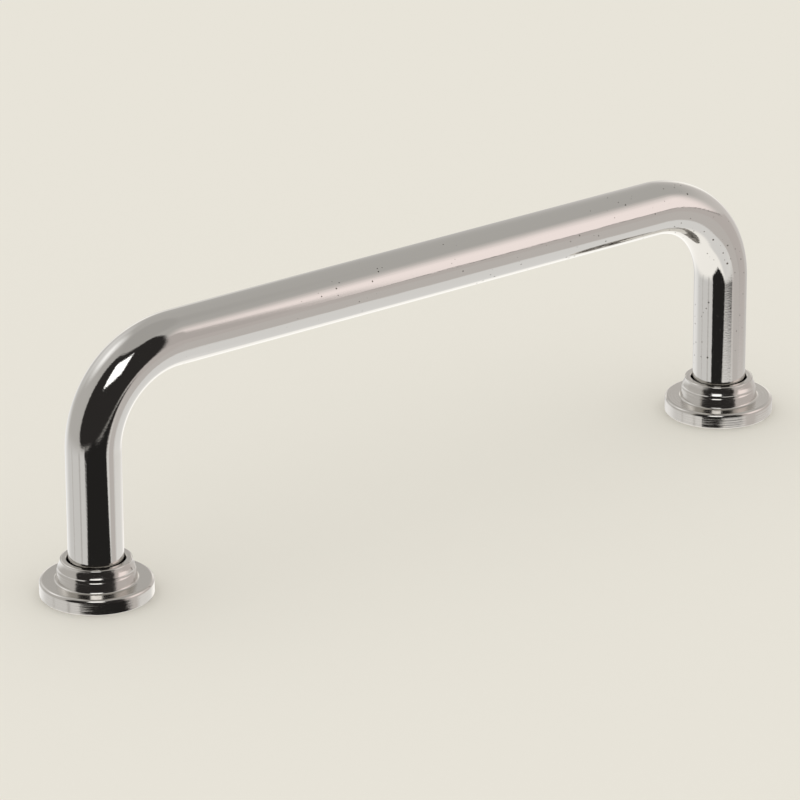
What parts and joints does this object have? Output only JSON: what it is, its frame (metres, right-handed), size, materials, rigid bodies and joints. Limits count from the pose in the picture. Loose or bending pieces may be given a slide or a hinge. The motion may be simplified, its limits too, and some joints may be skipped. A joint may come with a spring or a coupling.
{
  "type": "bridge pull handle",
  "caption": "Bent round bar handle with a bridge shape, standing on round stepped rosettes and screwed on from behind.",
  "frame": {"origin": "on the mounting surface, midway between the two legs and so between the two fixing screws", "axes": "+X along the bar towards the right leg, +Y across the bar, +Z away from the mounting surface towards the crossbar"},
  "size_m": [0.1464, 0.0184, 0.0445],
  "materials": {
    "polished_bar": "polished nickel plate, mirror bright, with a few fine pits and hairline marks",
    "turned_rosette": "polished nickel plate over fine turning marks that run round the rosette"
  },
  "bodies": {
    "root": {"bar": "polished_bar", "left_rosette": "turned_rosette", "right_rosette": "turned_rosette"}
  },
  "joints": []
}
